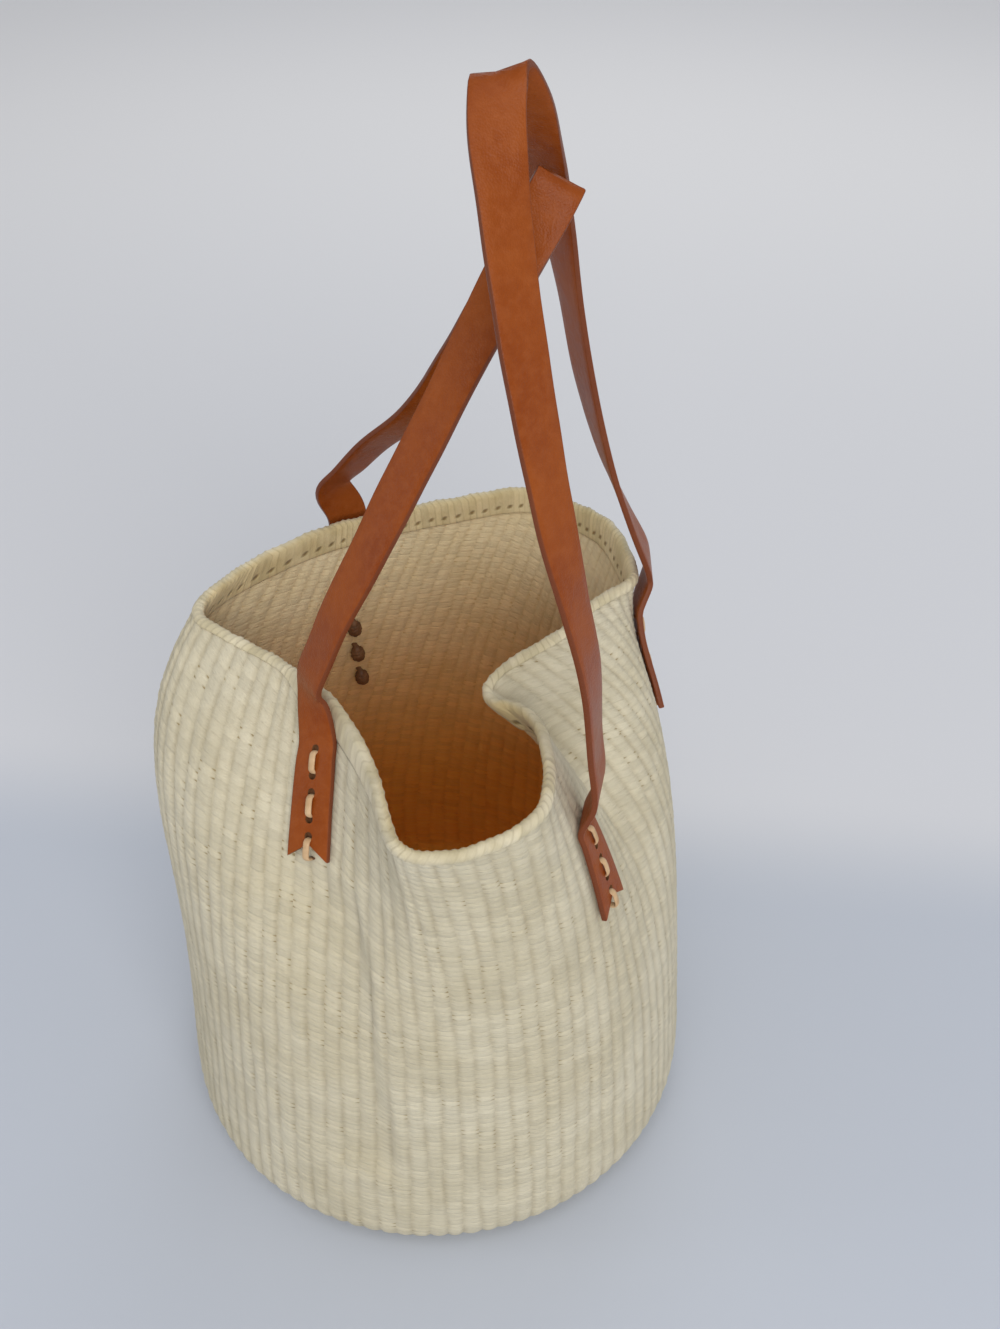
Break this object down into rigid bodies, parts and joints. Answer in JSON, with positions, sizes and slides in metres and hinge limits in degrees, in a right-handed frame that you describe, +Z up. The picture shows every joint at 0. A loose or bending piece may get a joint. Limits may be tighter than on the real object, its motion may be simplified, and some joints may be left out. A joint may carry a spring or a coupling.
{
  "type": "kiondo basket",
  "caption": "Twined fibre bucket basket with a folded mouth and two long leather strap handles laced to its outside wall.",
  "frame": {"origin": "middle of the flat underside, on the surface that the basket stands on", "axes": "+Z up, +Y towards the tall rear side of the mouth, -Y towards the front fold, +X to the right"},
  "size_m": [0.2872, 0.2958, 0.5838],
  "materials": {
    "sisal": "undyed twined sisal fibre",
    "tan_leather": "smooth vegetable-tanned strap leather",
    "rawhide_lace": "pale waxed lace"
  },
  "bodies": {
    "basket": {"basket_wall": "sisal", "basket_base": "sisal", "rim_border": "sisal", "left_front_tab": "tan_leather", "left_rear_tab": "tan_leather", "right_front_tab": "tan_leather", "right_rear_tab": "tan_leather", "left_front_stitch_1": "rawhide_lace", "left_front_stitch_2": "rawhide_lace", "left_front_stitch_3": "rawhide_lace", "left_rear_stitch_1": "rawhide_lace", "left_rear_stitch_2": "rawhide_lace", "left_rear_stitch_3": "rawhide_lace", "right_front_stitch_1": "rawhide_lace", "right_front_stitch_2": "rawhide_lace", "right_front_stitch_3": "rawhide_lace", "right_rear_stitch_1": "rawhide_lace", "right_rear_stitch_2": "rawhide_lace", "right_rear_stitch_3": "rawhide_lace"},
    "handle_left": {"left_handle_loop": "tan_leather"},
    "handle_right": {"right_handle_loop": "tan_leather"}
  },
  "joints": [
    {"name": "left_handle_swing", "type": "hinge", "parent": "basket", "child": "handle_left", "pos_m": [-0.05325, -0.0332, 0.3137], "axis": [0.0085, -0.9982, -0.0597], "range_deg": [0, 120]},
    {"name": "right_handle_swing", "type": "hinge", "parent": "basket", "child": "handle_right", "pos_m": [0.08371, -0.0739, 0.28182], "axis": [0.2078, 0.9594, 0.1906], "range_deg": [0, 145]}
  ]
}
